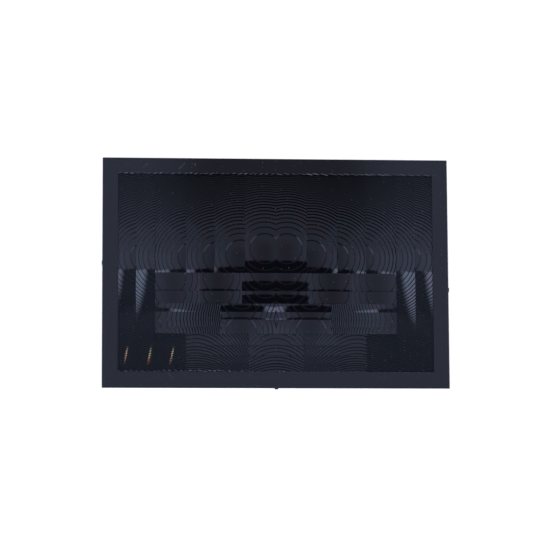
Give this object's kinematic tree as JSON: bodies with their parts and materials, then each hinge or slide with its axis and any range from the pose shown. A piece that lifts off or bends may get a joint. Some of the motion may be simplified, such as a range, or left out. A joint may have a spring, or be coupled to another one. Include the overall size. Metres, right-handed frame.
{
  "type": "multi-facet fresnel lens sheet",
  "caption": "Thin dark moulded sheet with a grid of off-centre grooved lens tiles that gather a room's heat radiation onto a motion sensor.",
  "frame": {"origin": "centre of the smooth back face, on which the sheet lies", "axes": "+X along the sheet's length, towards the picture's right, +Y towards the picture's top, +Z out of the grooved face"},
  "size_m": [0.06, 0.04, 0.0005],
  "materials": {
    "dark_polyethylene": "smooth moulded infrared-passing polyethylene, glossy on the facets, satin on the border"
  },
  "bodies": {
    "root": {"lens_sheet": "dark_polyethylene"}
  },
  "joints": []
}
